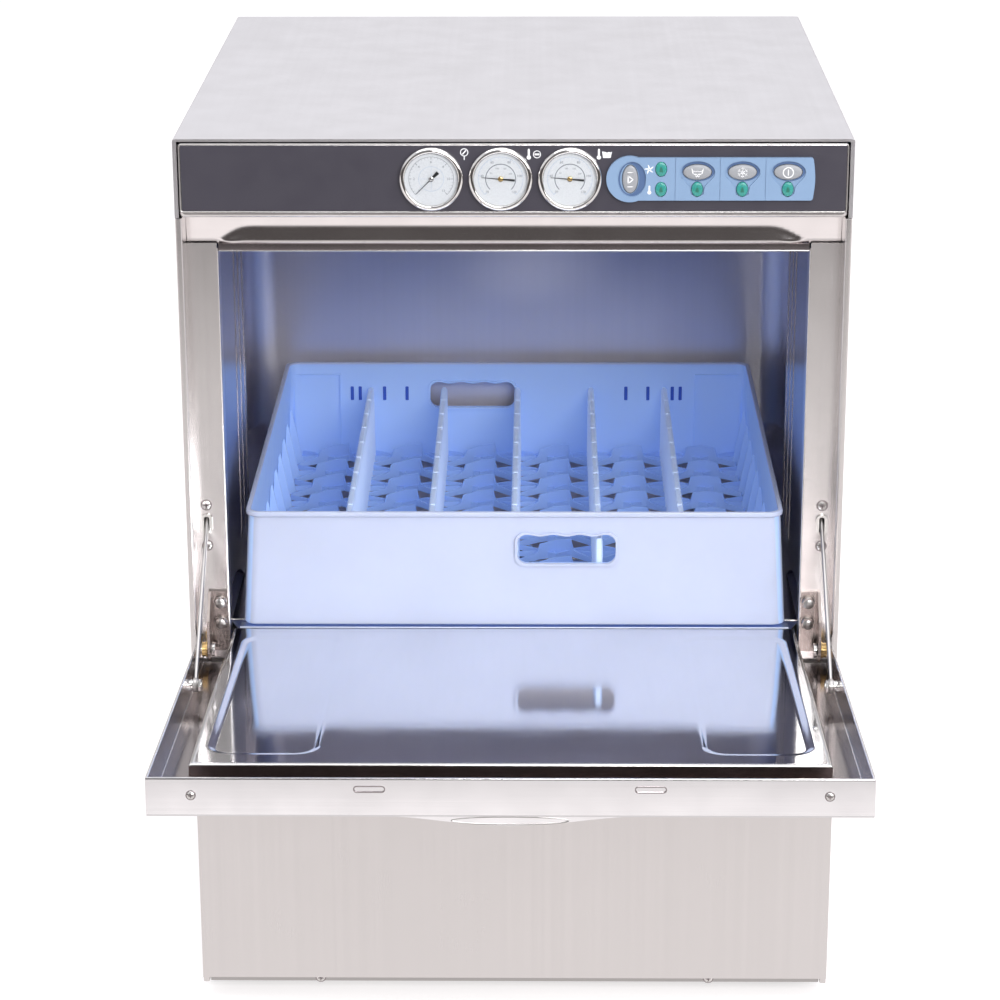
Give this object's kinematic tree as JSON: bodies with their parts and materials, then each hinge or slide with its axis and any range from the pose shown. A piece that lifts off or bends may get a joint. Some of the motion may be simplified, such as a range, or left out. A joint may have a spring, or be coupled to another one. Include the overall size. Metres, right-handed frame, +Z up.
{
  "type": "commercial undercounter dishwasher",
  "caption": "Undercounter glass and dish washer in brushed steel: drop-down door on sprung tie rods, wash chamber with spray arms, lattice rack, dial gauges and a key module",
  "frame": {"origin": "centre of the cabinet's underside, on the base pan's lower face", "axes": "+Z up, the door and controls face -Y, +X is to the right as seen from the front"},
  "size_m": [0.6, 1.0506, 0.843],
  "materials": {
    "brushed_steel": "fine vertical or horizontal grain",
    "chamber_steel": "bright annealed, near mirror",
    "arm_steel": "satin",
    "fastener_steel": "machined, bright",
    "bush_brass": "plain turned",
    "heater_steel": "heat-darkened",
    "rack_plastic": "moulded polypropylene",
    "overlay_film": "satin printed film",
    "module_plastic": "satin moulded",
    "button_plastic": "satin moulded",
    "indicator_plastic": "translucent",
    "gauge_chrome": "polished, white dial inside",
    "gauge_glass": "clear",
    "pointer_black": "matt black",
    "foot_plastic": "moulded",
    "pump_metal": "satin",
    "grey_plastic": "moulded",
    "valve_plastic": "moulded",
    "cable_rubber": "extruded",
    "board_green": "coated"
  },
  "bodies": {
    "cabinet": {"base_pan": "brushed_steel", "side_panel_left": "brushed_steel", "side_panel_right": "brushed_steel", "back_panel": "brushed_steel", "top_cover": "brushed_steel", "front_frame": "brushed_steel", "lower_front_panel": "brushed_steel", "wash_chamber": "chamber_steel", "sump_filter": "chamber_steel", "tank_heater": "heater_steel", "boiler": "arm_steel", "wash_pump": "pump_metal", "drain_pump": "foot_plastic", "dosing_pump": "grey_plastic", "inlet_valve": "valve_plastic", "power_cable": "cable_rubber", "upper_spray_pipe": "arm_steel", "lower_spray_post": "arm_steel", "control_fascia": "brushed_steel", "fascia_overlay": "overlay_film", "control_module": "module_plastic", "indicator_lenses": "indicator_plastic", "control_board": "board_green", "pressure_gauge_case": "gauge_chrome", "pressure_gauge_lens": "gauge_glass", "rinse_gauge_case": "gauge_chrome", "rinse_gauge_lens": "gauge_glass", "tank_gauge_case": "gauge_chrome", "tank_gauge_lens": "gauge_glass", "hinge_bracket_left": "brushed_steel", "hinge_bracket_right": "brushed_steel", "hinge_pin_left": "fastener_steel", "hinge_pin_right": "fastener_steel", "hinge_bush_left": "bush_brass", "hinge_bush_right": "bush_brass", "rod_guide_left": "fastener_steel", "rod_guide_right": "fastener_steel"},
    "door": {"door_outer_skin": "brushed_steel", "door_inner_pan": "chamber_steel"},
    "rod_left": {"tie_rod_left": "fastener_steel", "door_spring_left": "fastener_steel"},
    "rod_right": {"tie_rod_right": "fastener_steel", "door_spring_right": "fastener_steel"},
    "rack": {"glass_rack": "rack_plastic"},
    "standpipe": {"overflow_standpipe": "grey_plastic"},
    "lower_wash": {"lower_wash_arm": "arm_steel"},
    "lower_rinse": {"lower_rinse_arm": "arm_steel"},
    "upper_wash": {"upper_wash_arm": "arm_steel"},
    "upper_rinse": {"upper_rinse_arm": "arm_steel"},
    "start_key": {"start_button": "button_plastic"},
    "drain_key": {"drain_button": "button_plastic"},
    "rinse_key": {"rinse_button": "button_plastic"},
    "power_key": {"power_button": "button_plastic"},
    "pressure_pointer": {"pressure_gauge_needle": "pointer_black"},
    "rinse_pointer": {"rinse_gauge_needle": "pointer_black"},
    "tank_pointer": {"tank_gauge_needle": "pointer_black"},
    "foot_fl": {"foot_front_left": "foot_plastic"},
    "foot_fr": {"foot_front_right": "foot_plastic"},
    "foot_rl": {"foot_rear_left": "foot_plastic"},
    "foot_rr": {"foot_rear_right": "foot_plastic"}
  },
  "joints": [
    {"name": "door_hinge", "type": "hinge", "parent": "cabinet", "child": "door", "pos_m": [0, -0.296, 0.3412], "axis": [-1, 0, 0], "range_deg": [0, 84.97]},
    {"name": "rod_left_pivot", "type": "hinge", "parent": "door", "child": "rod_left", "pos_m": [-0.28445, -0.41473, 0.35366], "axis": [-1, 0, 0], "range_deg": [-42.48, 0], "deforming": ["door_spring_left"]},
    {"name": "rod_right_pivot", "type": "hinge", "parent": "door", "child": "rod_right", "pos_m": [0.28445, -0.41473, 0.35366], "axis": [-1, 0, 0], "range_deg": [-42.48, 0], "deforming": ["door_spring_right"]},
    {"name": "rack_slide", "type": "slide", "parent": "cabinet", "child": "rack", "axis": [0, 0.9961, -0.0877], "range_m": [-0.36, 0]},
    {"name": "standpipe_lift", "type": "slide", "parent": "cabinet", "child": "standpipe", "axis": [0, 0, 1], "range_m": [0, 0.028]},
    {"name": "lower_wash_spin", "type": "hinge", "parent": "cabinet", "child": "lower_wash", "pos_m": [0, -0.02, 0.319], "axis": [0, 0, 1], "continuous": true},
    {"name": "lower_rinse_spin", "type": "hinge", "parent": "cabinet", "child": "lower_rinse", "pos_m": [0, -0.02, 0.337], "axis": [0, 0, 1], "continuous": true},
    {"name": "upper_wash_spin", "type": "hinge", "parent": "cabinet", "child": "upper_wash", "pos_m": [0, -0.02, 0.728], "axis": [0, 0, 1], "continuous": true},
    {"name": "upper_rinse_spin", "type": "hinge", "parent": "cabinet", "child": "upper_rinse", "pos_m": [0, -0.02, 0.712], "axis": [0, 0, 1], "continuous": true},
    {"name": "start_press", "type": "slide", "parent": "cabinet", "child": "start_key", "axis": [0, 1, 0], "range_m": [0, 0.002]},
    {"name": "drain_press", "type": "slide", "parent": "cabinet", "child": "drain_key", "axis": [0, 1, 0], "range_m": [0, 0.002]},
    {"name": "rinse_press", "type": "slide", "parent": "cabinet", "child": "rinse_key", "axis": [0, 1, 0], "range_m": [0, 0.002]},
    {"name": "power_press", "type": "slide", "parent": "cabinet", "child": "power_key", "axis": [0, 1, 0], "range_m": [0, 0.002]},
    {"name": "pressure_reading", "type": "hinge", "parent": "cabinet", "child": "pressure_pointer", "pos_m": [-0.0722, -0.3132, 0.7928], "axis": [0, 1, 0], "range_deg": [0, 270]},
    {"name": "rinse_reading", "type": "hinge", "parent": "cabinet", "child": "rinse_pointer", "pos_m": [-0.011, -0.3132, 0.7928], "axis": [0, 1, 0], "range_deg": [-50, 220]},
    {"name": "tank_reading", "type": "hinge", "parent": "cabinet", "child": "tank_pointer", "pos_m": [0.05, -0.3132, 0.7928], "axis": [0, 1, 0], "range_deg": [-50, 220]},
    {"name": "level_fl", "type": "slide", "parent": "cabinet", "child": "foot_fl", "axis": [0, 0, -1], "range_m": [0, 0.015]},
    {"name": "level_fr", "type": "slide", "parent": "cabinet", "child": "foot_fr", "axis": [0, 0, -1], "range_m": [0, 0.015]},
    {"name": "level_rl", "type": "slide", "parent": "cabinet", "child": "foot_rl", "axis": [0, 0, -1], "range_m": [0, 0.015]},
    {"name": "level_rr", "type": "slide", "parent": "cabinet", "child": "foot_rr", "axis": [0, 0, -1], "range_m": [0, 0.015]}
  ],
  "couplings": [
    {"joint": "rod_left_pivot", "follows": "door_hinge", "ratio": -0.5},
    {"joint": "rod_right_pivot", "follows": "door_hinge", "ratio": -0.5}
  ]
}
